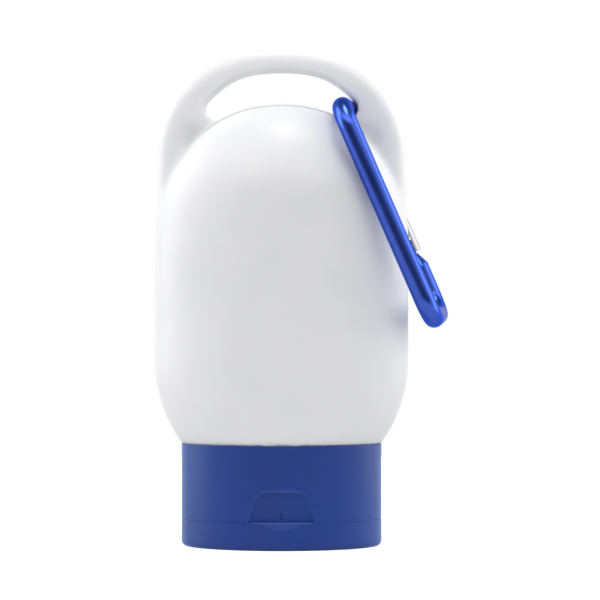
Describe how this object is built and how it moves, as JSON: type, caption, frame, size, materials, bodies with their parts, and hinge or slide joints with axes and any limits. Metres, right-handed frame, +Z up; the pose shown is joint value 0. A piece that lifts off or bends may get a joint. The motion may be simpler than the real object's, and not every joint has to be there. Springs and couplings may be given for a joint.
{
  "type": "sunscreen bottle",
  "caption": "Small flat oval lotion bottle that stands on its flip-top closure, with a moulded carrying handle over its crown and a sprung wire snap hook hung in it.",
  "frame": {"origin": "centre of the closed lid's flat foot, which the bottle stands on", "axes": "+Z up from the foot through the neck to the handle; -Y is the front, where the thumb recess is; +X is to the right seen from the front, the side that the hook hangs on"},
  "size_m": [0.0592, 0.0261, 0.0991],
  "materials": {
    "white_polyethylene": "milky satin polyethylene with a soft sheen",
    "blue_polypropylene": "dark blue satin polypropylene",
    "blue_anodised_aluminium": "bright blue anodised, glossy",
    "bare_aluminium": "bare satin aluminium",
    "rivet_steel": "plain steel"
  },
  "bodies": {
    "bottle": {"bottle": "white_polyethylene", "closure_base": "blue_polypropylene", "living_hinge": "blue_polypropylene"},
    "lid": {"flip_lid": "blue_polypropylene"},
    "hook": {"carabiner_frame": "blue_anodised_aluminium"},
    "gate": {"carabiner_gate": "bare_aluminium", "gate_hinge_pin": "rivet_steel", "gate_latch_pin": "rivet_steel", "gate_spring": "rivet_steel"},
    "plunger": {"gate_plunger": "rivet_steel"}
  },
  "joints": [
    {"name": "lid_hinge", "type": "hinge", "parent": "bottle", "child": "lid", "pos_m": [0, 0.01245, 0.0055], "axis": [1, 0, 0], "range_deg": [0, 140], "deforming": ["living_hinge"]},
    {"name": "hook_swing", "type": "hinge", "parent": "bottle", "child": "hook", "pos_m": [0.01295, 0, 0.08715], "axis": [-0.1403, -0.9882, -0.0609], "range_deg": [0, 150]},
    {"name": "gate_hinge", "type": "hinge", "parent": "hook", "child": "gate", "pos_m": [0.01762, 0.01101, 0.08067], "axis": [-0.9065, 0.153, -0.3936], "range_deg": [0, 14], "stiffness_Nm_per_rad": 0.001, "springref_deg": -28.65},
    {"name": "plunger_slide", "type": "slide", "parent": "gate", "child": "plunger", "axis": [0.3983, 0, -0.9173], "range_m": [0, 0.00022], "deforming": ["gate_spring"]}
  ],
  "couplings": [
    {"joint": "plunger_slide", "follows": "gate_hinge", "m_per_rad": 0.0009}
  ]
}
